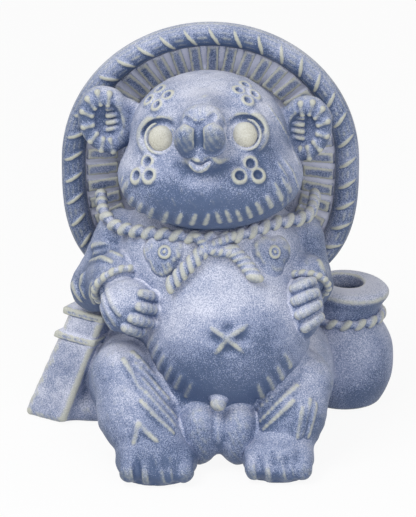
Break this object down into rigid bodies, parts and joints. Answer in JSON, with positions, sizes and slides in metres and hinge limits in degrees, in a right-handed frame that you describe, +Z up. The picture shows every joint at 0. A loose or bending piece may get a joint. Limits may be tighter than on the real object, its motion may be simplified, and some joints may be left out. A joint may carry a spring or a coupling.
{
  "type": "seated tanuki figurine",
  "caption": "Seated raccoon-dog ornament in blue-glazed stoneware, with a hat behind its head, a bound ledger at one hip and a rope-tied flask at the other.",
  "frame": {"origin": "middle of the figure's outline seen from above, on the surface it stands on", "axes": "+Z up through the hat, the figure faces -Y, +X is on the flask's side"},
  "size_m": [0.1806, 0.1508, 0.2041],
  "materials": {
    "blue_glaze": "satin slate-blue glaze with fine pale speckle, breaking to cream on edges",
    "cream_glaze": "satin cream glaze"
  },
  "bodies": {
    "root": {"body": "blue_glaze", "head": "blue_glaze", "eye_right": "cream_glaze", "eye_left": "cream_glaze", "nose": "blue_glaze", "lower_lip": "blue_glaze", "hat_rim": "blue_glaze", "hat_crown": "blue_glaze", "ear_right": "blue_glaze", "ear_left": "blue_glaze", "collar_rope": "blue_glaze", "rope_knot": "blue_glaze", "rope_end_right": "blue_glaze", "rope_end_left": "blue_glaze", "breast_patch_right": "blue_glaze", "breast_patch_left": "blue_glaze", "arm_right": "blue_glaze", "paw_right": "blue_glaze", "cuff_right": "blue_glaze", "leg_right": "blue_glaze", "foot_right": "blue_glaze", "arm_left": "blue_glaze", "paw_left": "blue_glaze", "cuff_left": "blue_glaze", "leg_left": "blue_glaze", "foot_left": "blue_glaze", "money_bag": "blue_glaze", "bag_bud": "blue_glaze", "tail": "blue_glaze", "ledger": "blue_glaze", "ledger_band_top": "blue_glaze", "ledger_band_low": "blue_glaze", "flask": "blue_glaze", "flask_cord": "blue_glaze"}
  },
  "joints": []
}
